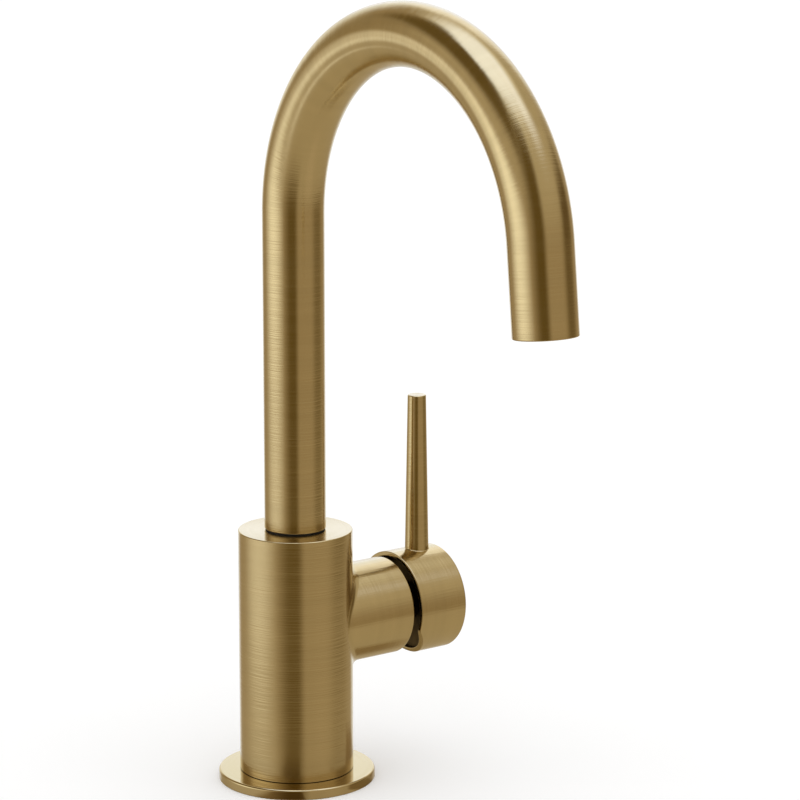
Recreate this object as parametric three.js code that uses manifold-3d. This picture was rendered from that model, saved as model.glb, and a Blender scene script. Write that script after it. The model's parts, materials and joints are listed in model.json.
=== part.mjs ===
// Gooseneck bar faucet in millimetres, +Z up. The origin is where the body's axis meets the deck.
// The spout reaches along +X, and the stub that carries the handle points along +Y.
import * as THREE from "three";
import { mergeVertices } from "three/addons/utils/BufferGeometryUtils.js";
import Module from "manifold-3d";

const wasm = await Module();
wasm.setup();

// ---- Driving dimensions

const gap = 0.3; // between pieces that touch on the real faucet
const overcut = 1; // how far a cut runs past the solid it opens
const edgeBreak = 0.4; // chamfer on the edges that show

// Base flange, with its gasket on the deck and a seal under the body
const flangeRadius = 28.5;
const flangeThickness = 3.75;
const gasketThickness = 1.6;
const gasketMargin = 1.6; // from the flange's rim
const gasketWidth = 7.5;
const sealWidth = 2;
const sealDepth = 1.5; // of its groove in the flange's top

// Body: an upright cylinder, hollow from below
const bodyRadius = 20.7;
const bodyHeight = 89.1;
const bodySeam = 0.45; // dark line between flange and body
const bodyWall = 4.2;
const bodyTopWall = 4.5;

// Stub on the body's side, which holds the cartridge
const handleHeight = 58.2; // of the stub's axis above the deck
const stubRadius = 17.9;
const stubReach = 40.9; // from the body's axis to the stub's end
const stubFillet = 3.8; // where it meets the body
const bonnetWall = 2.1; // of the stub around the retaining nut
const chamberDepth = 31.2; // of the cartridge's chamber, from the stub's end

// Spout: riser, arch and a short straight outlet
const tubeRadius = 11.1;
const tubeWall = 1.2;
const spoutSeam = 0.6; // dark line between body and riser
const riserLength = 114.8;
const archRadius = 68.9;
const archAngle = THREE.MathUtils.degToRad(174.2);
const outletRun = 30.1;

// Spigot in the riser's foot, with two seals and a retaining clip
const spigotRadius = 8.6;
const spigotBore = 5.6;
const spigotDepth = 21; // below the body's top
const spigotPlug = 18; // length inside the tube
const ringSection = 0.75; // radius of a seal ring's section
const ringGrooveDepth = 1.6;
const ringSpacing = 4.6;
const clipDepth = 6.6; // of its groove below the body's top
const clipThickness = 1.4;
const clipWidth = 3.9;
const clipGrooveDepth = 1.2;
const clipSlot = 4; // where the ring is open

// Aerator in the spout's end
const aeratorRecess = 0.8;
const outletBushLength = 12;
const outletBushWall = 1.4;
const aeratorLength = 8.6;
const aeratorWall = 1.3;
const aeratorGasket = 1.4;
const screenThickness = 0.8;
const screenHoleRadius = 1.1;
const screenHoleCircle = 4;
const screenHoles = 6; // round one in the middle
const regulatorThickness = 2.5;
const regulatorBore = 1.3;

// Waterway core
const passageRadius = 2.6;
const outletPassageRadius = 3.2;
const connectorRadius = 4.8;
const connectorLength = 22;
const connectorSocket = 7; // how far it goes into the core
const checkValveLength = 8;

// Cartridge, along the stub's axis
const cartridgeRadius = 12.5;
const cartridgeWall = 1.2;
const cartridgeBaseThickness = 4;
const portSpread = 6; // hot and cold inlets to each side of the axis
const portDrop = 2; // inlets below the axis
const outletRise = 6.5; // outlet port above the axis
const portSealRadius = 3.8;
const discThickness = 2.7;
const discPocketRadius = 4;
const discPocketDepth = 1.35;
const discTravel = 2.8; // of the sliding disc at full flow
const carrierThickness = 4.6;
const rotorFlange = 4.6;
const rotorNeckRadius = 8;
const rotorNeckLength = 5.2;
const housingNeckWall = 1.3;
const housingShoulder = 1.7;
const nutThickness = 5.2;
const coverWall = 6.2; // ring width of the bonnet cover

// Stem, which tilts on a pin in the rotor
const stemRadius = 3;
const stemSquare = 6.4; // across its flats in the hub
const stemEngagement = 14.6; // past the cup's mouth
const pinInset = 6.1; // of the pin from the rotor's inner face
const pinRadius = 1.2;
const ballRadius = 2.2;
const ballDepth = 3; // of the ball's centre in the carrier
const tiltRange = THREE.MathUtils.degToRad(19);

// Handle hub: a short cup, relieved below so that it clears the stub as it tilts
const hubSeam = 2.2; // between the stub's end and the cup's mouth
const hubLength = 20.4;
const hubRadius = 19.45;
const hubWall = 1.8;
const cupDepth = 8;
const bossRadius = 7;
const bossInset = 1.9; // of the boss from the cup's mouth
const reliefDrop = 7; // below the axis, where the relief starts
const reliefAngle = THREE.MathUtils.degToRad(31);

// Lever and the screw that holds the hub on the stem
const leverSetback = 12.1; // from the cup's mouth
const leverHeight = 77.5; // of its top above the handle's axis
const leverFootRadius = 4.42;
const leverTopRadius = 3.42;
const studRadius = 2.4;
const studLength = 11; // inside the hub
const setScrewRadius = 2;
const setScrewLength = 7;
const plugRadius = 2.7;
const plugThickness = 2.4;

// Mounting through a hole in the deck
const deckThickness = 20;
const shankWall = 3;
const shankEngagement = 13; // inside the body
const shankDrop = 52; // below the top of the deck
const frictionWasherRadius = 26;
const frictionWasherThickness = 2.4;
const clampWasherThickness = 1.6;
const nutAcrossFlats = 52;
const mountingNutThickness = 9;
const clampScrewCircle = 21.4;
const clampScrewRadius = 2;
const clampScrewLength = 20;
const clampHeadRadius = 3.6;
const clampHeadThickness = 3;

// Facets round a circle: wide pieces, middle ones and small ones
const wideSides = 40;
const midSides = 24;
const smallSides = 12;
const ringSides = 6;
const archSteps = 26;
const filletSteps = 4;

// ---- Derived places

const bodyBottom = flangeThickness + bodySeam;
const bodyTop = bodyBottom + bodyHeight;
const bodyBore = bodyRadius - bodyWall;
const coreRadius = bodyBore - gap;
const riserBottom = bodyTop + spoutSeam;
const archBase = riserBottom + riserLength;
const shankRadius = coreRadius;
const shankTop = bodyBottom + shankEngagement;
const coreBottom = shankTop + gap;
const coreTop = bodyTop - bodyTopWall - gap;

const spigotBottom = bodyTop - spigotDepth;
const socketFloor = spigotBottom - gap;
const clipTop = bodyTop - clipDepth;
const clipOuter = spigotRadius - clipGrooveDepth + gap + clipWidth;
const topHole = tubeRadius - gap;

const chamberFloor = stubReach - chamberDepth;
const chamberRadius = cartridgeRadius + gap;
const baseStart = chamberFloor + gap;
const baseEnd = baseStart + cartridgeBaseThickness;
const fixedStart = baseEnd + gap;
const movingStart = fixedStart + discThickness + gap;
const carrierStart = movingStart + discThickness + gap;
const rotorStart = carrierStart + carrierThickness + gap;
const rotorShoulder = rotorStart + rotorFlange;
const shoulderStart = rotorShoulder + gap;
const shoulderEnd = shoulderStart + housingShoulder;
const rotorEnd = rotorShoulder + rotorNeckLength;
const cavityRadius = cartridgeRadius - cartridgeWall;
const slidingRadius = cavityRadius - discTravel - 2 * gap;
const housingNeckRadius = rotorNeckRadius + gap + housingNeckWall;
const bonnetBore = stubRadius - bonnetWall;
const nutStart = shoulderEnd + gap;
const nutEnd = nutStart + nutThickness;
const pinAt = rotorStart + pinInset;
const ballAt = carrierStart + ballDepth;

const hubMouth = stubReach + hubSeam;
const hubEnd = hubMouth + hubLength;
const hubBore = hubRadius - hubWall;
const cupFloor = hubMouth + cupDepth;
const leverAt = hubMouth + leverSetback;
const stemEnd = hubMouth + stemEngagement;

// ---- Shape helpers: each gives a closed solid

function solid(geometry) {
  geometry.deleteAttribute("normal");
  geometry.deleteAttribute("uv");
  const merged = mergeVertices(geometry, 1e-4);
  const place = merged.attributes.position;
  const corner = [0, 1, 2].map(() => new THREE.Vector3());
  const triangles = [];
  let volume = 0;
  for (let i = 0; i < merged.index.count; i += 3) {
    const [a, b, c] = [0, 1, 2].map((k) => merged.index.getX(i + k));
    if (a === b || b === c || c === a) continue;
    [a, b, c].forEach((v, k) => corner[k].fromBufferAttribute(place, v));
    volume += corner[0].dot(corner[1].clone().cross(corner[2]));
    triangles.push([a, b, c]);
  }
  // a profile drawn the other way round would face inwards
  const facing = ([a, b, c]) => (volume > 0 ? [a, b, c] : [a, c, b]);
  const triVerts = Uint32Array.from(triangles.flatMap(facing));
  const vertProperties = Float32Array.from(place.array);
  return new wasm.Manifold(new wasm.Mesh({ numProp: 3, vertProperties, triVerts }));
}

// A profile of [radius, distance along the axis], turned about +Y. Off the axis it closes on itself.
function turnedY(profile, sides) {
  const points = profile.map(([radius, along]) => new THREE.Vector2(radius, along));
  const onAxis = profile[0][0] === 0 && profile[profile.length - 1][0] === 0;
  if (!onAxis) points.push(points[0].clone());
  return solid(new THREE.LatheGeometry(points, sides));
}

const turnedZ = (profile, sides) => turnedY(profile, sides).rotate([90, 0, 0]);

const discProfile = (radius, low, high) => [
  [0, low],
  [radius, low],
  [radius, high],
  [0, high],
];

const ringProfile = (outer, inner, low, high) => [
  [inner, low],
  [outer, low],
  [outer, high],
  [inner, high],
];

// A ring whose outer edge is chamfered at the high end, and at the low end too where low edges show
const chamferedRing = (outer, inner, low, high) => [
  [inner, low],
  [outer - edgeBreak, low],
  [outer, low + edgeBreak],
  [outer, high - edgeBreak],
  [outer - edgeBreak, high],
  [inner, high],
];

function sealRing(radius, at) {
  const angles = Array.from({ length: ringSides }, (_, i) => (i * 2 * Math.PI) / ringSides);
  return angles.map((angle) => [
    radius + ringSection * Math.cos(angle),
    at + ringSection * Math.sin(angle),
  ]);
}

const circle = (radius, sides, x = 0, y = 0) =>
  Array.from({ length: sides }, (_, i) => (i * 2 * Math.PI) / sides).map(
    (angle) => new THREE.Vector2(x + radius * Math.cos(angle), y + radius * Math.sin(angle)),
  );

// An outline in X and Y with holes, from one height to another
function extruded(outline, holes, low, high) {
  const shape = new THREE.Shape(outline);
  shape.holes = holes.map((points) => new THREE.Path(points));
  const geometry = new THREE.ExtrudeGeometry(shape, { depth: high - low, bevelEnabled: false });
  return solid(geometry.translate(0, 0, low));
}

const block = (x, y, z) =>
  solid(new THREE.BoxGeometry(x[1] - x[0], y[1] - y[0], z[1] - z[0])).translate([
    (x[0] + x[1]) / 2,
    (y[0] + y[1]) / 2,
    (z[0] + z[1]) / 2,
  ]);

const uprightRod = (x, y, low, high, radius, sides) =>
  turnedZ(discProfile(radius, low, high), sides).translate([x, y, 0]);

const levelRod = (x, z, start, end, radius, sides) =>
  turnedY(discProfile(radius, start, end), sides).translate([x, 0, z]);

// ---- The tree of bodies

const finishes = {
  gold: { color: 0xcbb58a, roughness: 0.32, metalness: 1 },
  brass: { color: 0xb5913f, roughness: 0.45, metalness: 1 },
  steel: { color: 0xb9bbbd, roughness: 0.35, metalness: 1 },
  rubber: { color: 0x26272a, roughness: 0.85, metalness: 0 },
  polymer: { color: 0xe6e3da, roughness: 0.5, metalness: 0 },
  blackPolymer: { color: 0x1e1f21, roughness: 0.5, metalness: 0 },
  ceramic: { color: 0xf1efe9, roughness: 0.25, metalness: 0 },
};

const faucet = new THREE.Group();
const fixed = new THREE.Group();
const spout = new THREE.Group();
const outlet = new THREE.Group();
const stubAxis = new THREE.Group();
const rotor = new THREE.Group();
const handle = new THREE.Group();
faucet.add(fixed, spout);
spout.add(outlet);
fixed.add(stubAxis);
stubAxis.add(rotor, handle);
stubAxis.position.z = handleHeight;

function add(group, name, made, finish) {
  const { vertProperties, triVerts } = made.getMesh();
  const geometry = new THREE.BufferGeometry();
  geometry.setAttribute("position", new THREE.BufferAttribute(vertProperties, 3));
  geometry.setIndex(new THREE.BufferAttribute(triVerts, 1));
  geometry.computeVertexNormals();
  const material = new THREE.MeshStandardMaterial({ ...finishes[finish], flatShading: true });
  const mesh = new THREE.Mesh(geometry, material);
  mesh.name = name;
  group.add(mesh);
}

// ---- Base

function baseFlange() {
  const gasketOuter = flangeRadius - gasketMargin + gap;
  const gasketInner = gasketOuter - gasketWidth - 2 * gap;
  const sealOuter = bodyRadius - edgeBreak - gap;
  const sealFloor = flangeThickness - sealDepth;
  return turnedZ(chamferedRing(flangeRadius, shankRadius + gap, 0, flangeThickness), wideSides)
    .subtract(turnedZ(ringProfile(gasketOuter, gasketInner, -overcut, gasketThickness + gap), wideSides))
    .subtract(turnedZ(ringProfile(sealOuter, sealOuter - sealWidth, sealFloor, bodyBottom), wideSides));
}

function baseSeal() {
  const outer = bodyRadius - edgeBreak - 2 * gap;
  const low = flangeThickness - sealDepth + gap / 2;
  return turnedZ(ringProfile(outer, outer - sealWidth + 2 * gap, low, bodyBottom - gap / 2), midSides);
}

function deckGasket() {
  const outer = flangeRadius - gasketMargin;
  return turnedZ(ringProfile(outer, outer - gasketWidth, 0, gasketThickness), midSides);
}

// ---- Body

// The fillet between body and stub, as the path of a ball that rolls in the corner
function filletRing() {
  const steps = wideSides;
  const sunk = 0.1; // its edges lie this far inside both cylinders
  const section = [];
  for (let i = 0; i < steps; i++) {
    const turn = (i * 2 * Math.PI) / steps;
    const stubNormal = new THREE.Vector3(Math.sin(turn), 0, Math.cos(turn));
    const ball = stubNormal.clone().multiplyScalar(stubRadius + stubFillet);
    ball.y = Math.sqrt((bodyRadius + stubFillet) ** 2 - ball.x ** 2);
    const bodyNormal = new THREE.Vector3(ball.x, ball.y, 0).normalize();
    const between = bodyNormal.clone().add(stubNormal).normalize();
    const corner = stubFillet / between.dot(bodyNormal) + overcut;
    const points = [ball.clone().addScaledVector(between, -corner)];
    const angle = bodyNormal.angleTo(stubNormal);
    for (let k = 0; k <= filletSteps; k++) {
      const share = k / filletSteps;
      const normal = bodyNormal
        .clone()
        .multiplyScalar(Math.sin((1 - share) * angle))
        .addScaledVector(stubNormal, Math.sin(share * angle))
        .normalize();
      const depth = stubFillet + (k === 0 || k === filletSteps ? sunk : 0);
      points.push(ball.clone().addScaledVector(normal, -depth));
    }
    section.push(points);
  }
  const size = section[0].length;
  const index = [];
  for (let i = 0; i < steps; i++) {
    for (let k = 0; k < size; k++) {
      const a = i * size + k;
      const b = i * size + ((k + 1) % size);
      const c = ((i + 1) % steps) * size + k;
      const d = ((i + 1) % steps) * size + ((k + 1) % size);
      index.push(a, b, d, a, d, c);
    }
  }
  const geometry = new THREE.BufferGeometry().setFromPoints(section.flat());
  geometry.setIndex(index);
  return solid(geometry);
}

function bodyShell() {
  const above = [0, 0, handleHeight];
  const chamber = turnedY(discProfile(chamberRadius, 0, stubReach + overcut), midSides);
  const bonnet = turnedY(discProfile(bonnetBore, shoulderEnd, stubReach + overcut), midSides);
  const stub = turnedY(
    [
      [0, 0],
      [stubRadius, 0],
      [stubRadius, stubReach - edgeBreak],
      [stubRadius - edgeBreak, stubReach],
      [0, stubReach],
    ],
    wideSides,
  );
  return turnedZ(
    [
      [0, bodyBottom],
      [bodyRadius, bodyBottom],
      [bodyRadius, bodyTop - edgeBreak],
      [bodyRadius - edgeBreak, bodyTop],
      [0, bodyTop],
    ],
    wideSides,
  )
    .add(stub.add(filletRing()).translate(above))
    .subtract(uprightRod(0, 0, 0, bodyTop - bodyTopWall, bodyBore, wideSides))
    .subtract(uprightRod(0, 0, bodyTop - bodyTopWall - overcut, bodyTop + overcut, topHole, midSides))
    .subtract(chamber.add(bonnet).translate(above));
}

// ---- Waterway

const ports = [
  { name: "hot", x: -portSpread, z: -portDrop, radius: passageRadius },
  { name: "cold", x: portSpread, z: -portDrop, radius: passageRadius },
  { name: "outlet", x: 0, z: outletRise, radius: outletPassageRadius },
];
const inlets = ports.slice(0, 2);

function waterwayCore() {
  const socketTop = connectorTop + checkValveLength + 2 * gap;
  const clipFloor = clipTop - clipThickness - 2 * gap;
  const outletAt = handleHeight + outletRise;
  let core = turnedZ(discProfile(coreRadius, coreBottom, coreTop), midSides)
    .subtract(levelRod(0, handleHeight, chamberFloor, coreRadius + overcut, chamberRadius, midSides))
    .subtract(uprightRod(0, 0, socketFloor, coreTop + overcut, spigotRadius + gap, midSides))
    .subtract(uprightRod(0, 0, clipFloor, coreTop + overcut, clipOuter + gap, midSides))
    .subtract(uprightRod(0, 0, outletAt, socketFloor + overcut, outletPassageRadius, smallSides));
  for (const port of ports) {
    const height = handleHeight + port.z;
    core = core.subtract(levelRod(port.x, height, 0, chamberFloor + overcut, port.radius, smallSides));
  }
  for (const inlet of inlets) {
    core = core
      .subtract(uprightRod(inlet.x, 0, coreBottom - overcut, socketTop, connectorRadius + gap, smallSides))
      .subtract(uprightRod(inlet.x, 0, coreBottom, handleHeight + inlet.z, passageRadius, smallSides));
  }
  return core;
}

// A short length of pipe under an inlet passage
const inletPipe = (inlet, low, high) =>
  turnedZ(ringProfile(connectorRadius, passageRadius, low, high), smallSides).translate([inlet.x, 0, 0]);

const connectorTop = coreBottom + connectorSocket;
const inletConnector = (inlet) => inletPipe(inlet, connectorTop - connectorLength, connectorTop);
const checkValve = (inlet) => inletPipe(inlet, connectorTop + gap, connectorTop + gap + checkValveLength);

// ---- Cartridge, in the frame of the stub's axis

function cartridgeBase() {
  let base = turnedY(discProfile(cartridgeRadius - gap, baseStart, baseEnd), midSides);
  const pocketDepth = 2 * ringSection - gap / 2;
  for (const port of ports) {
    const pocket = portSealRadius + ringSection + gap;
    base = base
      .subtract(levelRod(port.x, port.z, baseStart - overcut, baseStart + pocketDepth, pocket, smallSides))
      .subtract(levelRod(port.x, port.z, baseStart, baseEnd + overcut, port.radius, smallSides));
  }
  return base;
}

function portSeal(port) {
  const at = chamberFloor + gap / 2 + ringSection;
  return turnedY(sealRing(portSealRadius, at), smallSides).translate([port.x, 0, port.z]);
}

function fixedDisc() {
  const low = fixedStart - overcut;
  let disc = turnedY(discProfile(cavityRadius - gap, fixedStart, fixedStart + discThickness), midSides);
  for (const port of ports) {
    disc = disc.subtract(levelRod(port.x, port.z, low, movingStart, port.radius, smallSides));
  }
  return disc;
}

function cartridgeHousing() {
  const bore = rotorNeckRadius + gap;
  return turnedY(
    [
      [cavityRadius, fixedStart],
      [cartridgeRadius, fixedStart],
      [cartridgeRadius, shoulderEnd],
      [housingNeckRadius, shoulderEnd],
      [housingNeckRadius, rotorEnd],
      [bore, rotorEnd],
      [bore, shoulderStart],
      [cavityRadius, shoulderStart],
    ],
    midSides,
  );
}

// The sliding disc's pocket joins the ports, so that water passes between them
function slidingDisc() {
  const disc = turnedY(discProfile(slidingRadius, movingStart, movingStart + discThickness), midSides);
  const pocket = discProfile(discPocketRadius, movingStart - overcut, movingStart + discPocketDepth);
  return disc.subtract(turnedY(pocket, smallSides));
}

function discCarrier() {
  const disc = turnedY(discProfile(slidingRadius, carrierStart, carrierStart + carrierThickness), midSides);
  const pocketFloor = ballAt - ballRadius - gap;
  return disc.subtract(turnedY(discProfile(ballRadius + gap, pocketFloor, rotorStart), smallSides));
}

function cartridgeRotor() {
  const inner = (pinAt - rotorStart) * Math.tan(tiltRange);
  const outer = (rotorEnd - pinAt) * Math.tan(tiltRange);
  const half = stemRadius + gap;
  const slot = block(
    [-half, half],
    [rotorStart - overcut, rotorEnd + overcut],
    [-half - outer - gap, half + inner + gap],
  );
  return turnedY(
    [
      [0, rotorStart],
      [cavityRadius - gap, rotorStart],
      [cavityRadius - gap, rotorShoulder],
      [rotorNeckRadius, rotorShoulder],
      [rotorNeckRadius, rotorEnd],
      [0, rotorEnd],
    ],
    midSides,
  )
    .subtract(slot)
    .subtract(crossRod(rotorNeckRadius + overcut, pinRadius + gap));
}

// A rod along X at the pin's place
function crossRod(halfLength, radius) {
  const rod = turnedY(discProfile(radius, -halfLength, halfLength), smallSides);
  return rod.rotate([0, 0, 90]).translate([0, pinAt, 0]);
}

function cartridgeStem() {
  const half = stemSquare / 2;
  const squareStart = rotorEnd + gap;
  // the shoulder over the neck still clears the carrier at full tilt
  const shoulder = pinAt - (pinInset - stemRadius * Math.sin(tiltRange)) / Math.cos(tiltRange);
  const ball = solid(new THREE.SphereGeometry(ballRadius, smallSides, smallSides / 2));
  return turnedY(discProfile(stemRadius, shoulder, squareStart + overcut), smallSides)
    .add(turnedY(discProfile(ballRadius - 2 * gap, ballAt, shoulder + overcut), smallSides))
    .add(ball.translate([0, ballAt, 0]))
    .add(block([-half, half], [squareStart, stemEnd], [-half, half]))
    .subtract(crossRod(stemRadius + overcut, pinRadius + gap));
}

const retainingNut = () =>
  turnedY(ringProfile(bonnetBore - gap, housingNeckRadius + gap, nutStart, nutEnd), midSides);

function bonnetCover() {
  const outer = bonnetBore - gap;
  return turnedY(ringProfile(outer, outer - coverWall, nutEnd + gap, stubReach - gap), midSides);
}

// ---- Handle, in the frame of the stub's axis

function handleHub() {
  const half = stemSquare / 2 + gap;
  const low = -hubRadius - overcut;
  const depth = (-reliefDrop - low) * Math.tan(reliefAngle);
  // a wedge drawn in Y and Z, cut across the whole of the cup's lower lip
  const wedge = extruded(
    [
      new THREE.Vector2(hubMouth - overcut, -reliefDrop),
      new THREE.Vector2(hubMouth, -reliefDrop),
      new THREE.Vector2(hubMouth + depth, low),
      new THREE.Vector2(hubMouth - overcut, low),
    ],
    [],
    -hubRadius - overcut,
    hubRadius + overcut,
  ).rotate([90, 0, 90]);
  const cup = turnedY(
    [
      [0, hubMouth + bossInset],
      [bossRadius, hubMouth + bossInset],
      [bossRadius, cupFloor],
      [hubBore, cupFloor],
      [hubBore, hubMouth],
      [hubRadius, hubMouth],
      [hubRadius, hubEnd - edgeBreak],
      [hubRadius - edgeBreak, hubEnd],
      [0, hubEnd],
    ],
    wideSides,
  );
  const screwHole = uprightRod(0, leverAt, -hubRadius - overcut, 0, setScrewRadius + gap, smallSides);
  const plugLow = -hubRadius + edgeBreak;
  const plugHole = uprightRod(0, leverAt, low, plugLow + plugThickness + gap, plugRadius + gap, smallSides);
  const studLow = hubRadius - studLength - gap;
  const studHole = uprightRod(0, leverAt, studLow, hubRadius + overcut, studRadius + gap, smallSides);
  return cup
    .subtract(wedge)
    .subtract(block([-half, half], [hubMouth, stemEnd + gap], [-half, half]))
    .subtract(screwHole)
    .subtract(plugHole)
    .subtract(studHole);
}

function handleLever() {
  const footLow = hubRadius - leverFootRadius; // the hub's surface cuts the foot off above this
  const rod = turnedZ(
    [
      [0, hubRadius - studLength],
      [studRadius, hubRadius - studLength],
      [studRadius, footLow],
      [leverFootRadius, footLow],
      [leverTopRadius, leverHeight - edgeBreak],
      [leverTopRadius - edgeBreak, leverHeight],
      [0, leverHeight],
    ],
    midSides,
  ).translate([0, leverAt, 0]);
  const hub = turnedY(ringProfile(hubRadius + gap, studLength, hubMouth, hubEnd), wideSides);
  const stud = uprightRod(0, leverAt, hubRadius - studLength, hubRadius + 2 * gap, studRadius, smallSides);
  return rod.subtract(hub).add(stud);
}

function setScrew() {
  const top = -stemSquare / 2 - gap / 2;
  return uprightRod(0, leverAt, top - setScrewLength, top, setScrewRadius, smallSides);
}

function setScrewPlug() {
  const low = -hubRadius + edgeBreak;
  return uprightRod(0, leverAt, low, low + plugThickness, plugRadius, smallSides);
}

// ---- Spout

// The tube's centre line. Its parameter takes one step for each straight run and for each facet of the arch.
class Gooseneck extends THREE.Curve {
  getPoint(t, target = new THREE.Vector3()) {
    const step = t * (archSteps + 2);
    if (step <= 1) return target.set(0, 0, riserBottom + step * riserLength);
    const angle = (Math.min(step - 1, archSteps) / archSteps) * archAngle;
    const past = Math.max(step - 1 - archSteps, 0) * outletRun;
    const x = archRadius * (1 - Math.cos(angle)) + past * Math.sin(angle);
    return target.set(x, 0, archBase + archRadius * Math.sin(angle) + past * Math.cos(angle));
  }

  getUtoTmapping(u) {
    return u;
  }
}

function spoutTube() {
  const section = new THREE.Shape(circle(tubeRadius, midSides));
  section.holes = [new THREE.Path(circle(tubeRadius - tubeWall, midSides))];
  const path = new Gooseneck();
  return solid(new THREE.ExtrudeGeometry(section, { steps: archSteps + 2, extrudePath: path }));
}

// Two grooves for seal rings, and one for the clip
const ringPlaces = [1, 2].map((n) => spigotBottom + n * ringSpacing - ringSection);

function spoutSpigot() {
  const plug = tubeRadius - tubeWall - gap;
  const groove = ringSection + gap / 2;
  const floor = spigotRadius - ringGrooveDepth;
  const grooves = ringPlaces.flatMap((at) => [
    [spigotRadius, at - groove],
    [floor, at - groove],
    [floor, at + groove],
    [spigotRadius, at + groove],
  ]);
  const clipFloor = spigotRadius - clipGrooveDepth;
  return turnedZ(
    [
      [spigotBore, spigotBottom],
      [spigotRadius, spigotBottom],
      ...grooves,
      [spigotRadius, clipTop - clipThickness - gap],
      [clipFloor, clipTop - clipThickness - gap],
      [clipFloor, clipTop + gap],
      [spigotRadius, clipTop + gap],
      [spigotRadius, riserBottom],
      [plug, riserBottom],
      [plug, riserBottom + spigotPlug],
      [spigotBore, riserBottom + spigotPlug],
    ],
    midSides,
  );
}

function spigotRing(at) {
  const radius = spigotRadius - ringGrooveDepth + ringSection + gap / 2;
  return turnedZ(sealRing(radius, at), midSides);
}

// A ring with a slot, so that it can spring open
function retainingClip() {
  const inner = spigotRadius - clipGrooveDepth + gap;
  const low = clipTop - clipThickness;
  return turnedZ(ringProfile(clipOuter, inner, low, clipTop), midSides).subtract(
    block([-clipOuter - overcut, 0], [-clipSlot / 2, clipSlot / 2], [low - overcut, clipTop + overcut]),
  );
}

const guideBush = () =>
  turnedZ(ringProfile(topHole - gap, spigotRadius + gap, bodyTop - bodyTopWall, bodyTop), midSides);

function glideWasher() {
  const low = bodyTop + gap / 2;
  return turnedZ(ringProfile(topHole - gap, spigotRadius + gap, low, low + spoutSeam - gap), midSides);
}

// ---- Outlet, in a frame whose +Z runs up the spout from the middle of its end

const outletBushRadius = tubeRadius - tubeWall - gap;
const aeratorRadius = outletBushRadius - outletBushWall - gap;
const aeratorTop = aeratorRecess + aeratorLength;
const insideAerator = aeratorRadius - aeratorWall - gap;

function outletBush() {
  const low = aeratorRecess - gap;
  return turnedZ(ringProfile(outletBushRadius, aeratorRadius + gap, low, low + outletBushLength), midSides);
}

const aeratorHousing = () =>
  turnedZ(ringProfile(aeratorRadius, aeratorRadius - aeratorWall, aeratorRecess, aeratorTop), midSides);

function aeratorScreen() {
  const low = aeratorRecess + screenThickness;
  const hole = (x, y) => circle(screenHoleRadius, ringSides, x, y);
  const holes = circle(screenHoleCircle, screenHoles).map((place) => hole(place.x, place.y));
  return extruded(circle(insideAerator, midSides), [hole(0, 0), ...holes], low, low + screenThickness);
}

const flowRegulator = () =>
  turnedZ(
    ringProfile(insideAerator, regulatorBore, aeratorTop - regulatorThickness, aeratorTop),
    midSides,
  );

function outletGasket() {
  const low = aeratorTop + gap;
  const inner = aeratorRadius - aeratorWall;
  return turnedZ(ringProfile(aeratorRadius, inner, low, low + aeratorGasket), midSides);
}

// ---- Mounting under the deck

const washerTop = -deckThickness;
const clampWasherTop = washerTop - frictionWasherThickness - gap;
const clampWasherBottom = clampWasherTop - clampWasherThickness;
const nutTop = clampWasherBottom - clampHeadRadius;
const screwTop = clampWasherBottom - gap;

const mountingShank = () =>
  turnedZ(ringProfile(shankRadius, shankRadius - shankWall, -shankDrop, shankTop), midSides);

const washer = (top, thickness) =>
  turnedZ(ringProfile(frictionWasherRadius, shankRadius + gap, top - thickness, top), midSides);

function mountingNut() {
  const hexagon = circle(nutAcrossFlats / Math.sqrt(3), 6);
  const holes = [1, -1].map((side) => circle(clampScrewRadius + gap, smallSides, side * clampScrewCircle));
  const bore = circle(shankRadius + gap, midSides);
  return extruded(hexagon, [bore, ...holes], nutTop - mountingNutThickness, nutTop);
}

function clampScrew(side) {
  const low = screwTop - clampScrewLength;
  return turnedZ(
    [
      [0, low],
      [clampHeadRadius, low],
      [clampHeadRadius, low + clampHeadThickness],
      [clampScrewRadius, low + clampHeadThickness],
      [clampScrewRadius, screwTop],
      [0, screwTop],
    ],
    smallSides,
  ).translate([side * clampScrewCircle, 0, 0]);
}

// ---- The faucet

add(fixed, "base_flange", baseFlange(), "gold");
add(fixed, "deck_gasket", deckGasket(), "rubber");
add(fixed, "base_seal", baseSeal(), "rubber");
add(fixed, "body_shell", bodyShell(), "gold");
add(fixed, "waterway_core", waterwayCore(), "brass");
for (const inlet of inlets) {
  add(fixed, inlet.name + "_inlet_connector", inletConnector(inlet), "brass");
  add(fixed, inlet.name + "_check_valve", checkValve(inlet), "polymer");
}
for (const port of ports) add(stubAxis, port.name + "_port_seal", portSeal(port), "rubber");
add(stubAxis, "cartridge_base", cartridgeBase(), "polymer");
add(stubAxis, "fixed_ceramic_disc", fixedDisc(), "ceramic");
add(stubAxis, "cartridge_housing", cartridgeHousing(), "polymer");
add(stubAxis, "cartridge_retaining_nut", retainingNut(), "brass");
add(stubAxis, "bonnet_cover", bonnetCover(), "gold");
add(fixed, "spout_guide_bush", guideBush(), "blackPolymer");
add(fixed, "spout_glide_washer", glideWasher(), "blackPolymer");
add(fixed, "mounting_shank", mountingShank(), "brass");
add(fixed, "friction_washer", washer(washerTop, frictionWasherThickness), "rubber");
add(fixed, "clamp_washer", washer(clampWasherTop, clampWasherThickness), "steel");
add(fixed, "mounting_nut", mountingNut(), "brass");
add(fixed, "clamp_screw_1", clampScrew(1), "steel");
add(fixed, "clamp_screw_2", clampScrew(-1), "steel");

add(rotor, "cartridge_rotor", cartridgeRotor(), "polymer");
add(rotor, "stem_pivot_pin", crossRod(rotorNeckRadius - gap, pinRadius), "steel");
add(rotor, "sliding_ceramic_disc", slidingDisc(), "ceramic");
add(rotor, "disc_carrier", discCarrier(), "polymer");

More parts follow.
